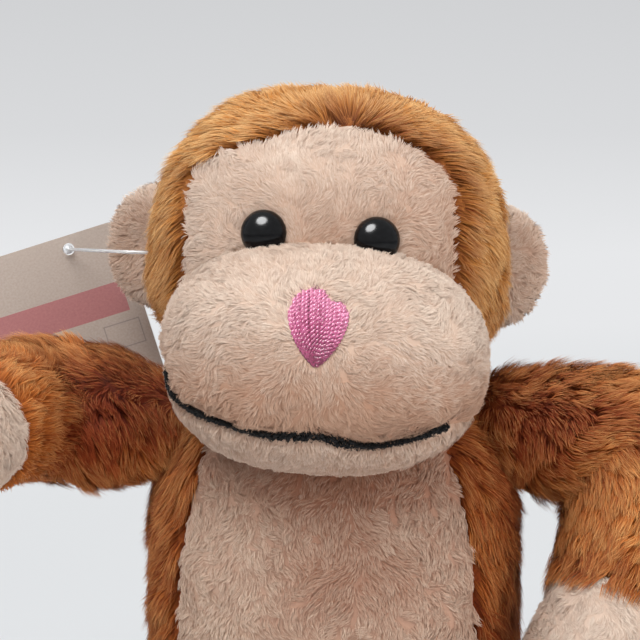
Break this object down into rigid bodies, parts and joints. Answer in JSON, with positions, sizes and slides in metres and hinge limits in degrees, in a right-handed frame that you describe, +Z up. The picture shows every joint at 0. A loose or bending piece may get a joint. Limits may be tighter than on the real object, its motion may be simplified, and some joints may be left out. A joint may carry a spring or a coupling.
{
  "type": "plush monkey doll",
  "caption": "Sitting plush monkey doll with long brown pile, a pale pink face, muzzle, belly, hands and feet, flexible sewn limbs, folding ears and a blank hang tag.",
  "frame": {"origin": "on the flat under the seat, in the middle of the torso", "axes": "+Z up, -Y is the way the face looks, +X is the doll's own left"},
  "size_m": [0.1853, 0.1495, 0.1787],
  "materials": {
    "brown_pile": "long soft pile",
    "pink_pile": "short soft pile",
    "stuffing": "loose polyester fibre",
    "pink_thread": "satin stitch",
    "black_thread": "twisted thread",
    "eye_black": "polished",
    "washer_plastic": "moulded",
    "tag_card": "matt card",
    "nylon": "clear moulded nylon"
  },
  "bodies": {
    "torso": {"belly_panel": "pink_pile", "back_panel_left": "brown_pile", "back_panel_right": "brown_pile", "seat_panel": "brown_pile", "torso_stuffing": "stuffing"},
    "neck": {"neck_stuffing": "stuffing"},
    "head": {"head_panel_left": "brown_pile", "head_panel_right": "brown_pile", "face_panel": "pink_pile", "muzzle_upper": "pink_pile", "muzzle_lower": "pink_pile", "mouth_stitch": "black_thread", "nose_stitch": "pink_thread", "head_stuffing": "stuffing", "eye_left": "eye_black", "eye_washer_left": "washer_plastic", "eye_right": "eye_black", "eye_washer_right": "washer_plastic"},
    "ear_left": {"ear_front_left": "pink_pile", "ear_back_left": "pink_pile"},
    "ear_right": {"ear_front_right": "pink_pile", "ear_back_right": "pink_pile"},
    "tag": {"hang_tag": "tag_card", "tag_pin": "nylon"},
    "tail": {"tail": "brown_pile"},
    "upper_arm_left": {"upper_arm_sleeve_left": "brown_pile", "upper_arm_stuffing_left": "stuffing"},
    "forearm_left": {"forearm_sleeve_left": "brown_pile", "hand_left": "pink_pile", "forearm_stuffing_left": "stuffing"},
    "leg_left": {"leg_sleeve_left": "brown_pile", "foot_left": "pink_pile", "leg_stuffing_left": "stuffing"},
    "upper_arm_right": {"upper_arm_sleeve_right": "brown_pile", "upper_arm_stuffing_right": "stuffing"},
    "forearm_right": {"forearm_sleeve_right": "brown_pile", "hand_right": "pink_pile", "forearm_stuffing_right": "stuffing"},
    "leg_right": {"leg_sleeve_right": "brown_pile", "foot_right": "pink_pile", "leg_stuffing_right": "stuffing"}
  },
  "joints": [
    {"name": "neck_turn", "type": "hinge", "parent": "torso", "child": "neck", "pos_m": [-0.0019, 0, 0.1115], "axis": [0, 0, 1], "range_deg": [-10, 10], "stiffness_Nm_per_rad": 0.12},
    {"name": "neck_nod", "type": "hinge", "parent": "neck", "child": "head", "pos_m": [-0.0019, 0, 0.1115], "axis": [-1, 0, 0], "range_deg": [-5, 9], "stiffness_Nm_per_rad": 0.5},
    {"name": "shoulder_left", "type": "hinge", "parent": "torso", "child": "upper_arm_left", "pos_m": [0.043, -0.004, 0.1004], "axis": [0, -1, 0], "range_deg": [-10, 30], "stiffness_Nm_per_rad": 0.06},
    {"name": "elbow_left", "type": "hinge", "parent": "upper_arm_left", "child": "forearm_left", "pos_m": [0.06934, -0.00822, 0.09623], "axis": [0.0932, 0.9306, -0.354], "range_deg": [-20, 10], "stiffness_Nm_per_rad": 0.03},
    {"name": "shoulder_right", "type": "hinge", "parent": "torso", "child": "upper_arm_right", "pos_m": [-0.043, -0.004, 0.1004], "axis": [0, 1, 0], "range_deg": [-30, 20], "stiffness_Nm_per_rad": 0.06},
    {"name": "elbow_right", "type": "hinge", "parent": "upper_arm_right", "child": "forearm_right", "pos_m": [-0.06913, -0.00906, 0.10496], "axis": [0.1925, -0.1161, 0.9744], "range_deg": [-15, 20], "stiffness_Nm_per_rad": 0.03},
    {"name": "hip_left", "type": "hinge", "parent": "torso", "child": "leg_left", "pos_m": [0.025, -0.026, 0.0125], "axis": [-1, 0, 0], "range_deg": [0, 15], "stiffness_Nm_per_rad": 0.05},
    {"name": "hip_right", "type": "hinge", "parent": "torso", "child": "leg_right", "pos_m": [-0.025, -0.026, 0.0125], "axis": [-1, 0, 0], "range_deg": [0, 15], "stiffness_Nm_per_rad": 0.05},
    {"name": "tail_swing", "type": "hinge", "parent": "torso", "child": "tail", "pos_m": [0, 0.03, 0.011], "axis": [0, 0, 1], "range_deg": [-20, 20], "stiffness_Nm_per_rad": 0.01},
    {"name": "ear_flex_left", "type": "hinge", "parent": "head", "child": "ear_left", "pos_m": [0.03948, 0.004, 0.13772], "axis": [0.061, 0, 0.9981], "range_deg": [-15, 15], "stiffness_Nm_per_rad": 0.01},
    {"name": "ear_flex_right", "type": "hinge", "parent": "head", "child": "ear_right", "pos_m": [-0.04237, 0.004, 0.14273], "axis": [0.061, 0, 0.9981], "range_deg": [-15, 15], "stiffness_Nm_per_rad": 0.01},
    {"name": "tag_swing", "type": "hinge", "parent": "head", "child": "tag", "pos_m": [-0.0422, -0.008, 0.1416], "axis": [1, 0, 0], "range_deg": [0, 35]}
  ]
}
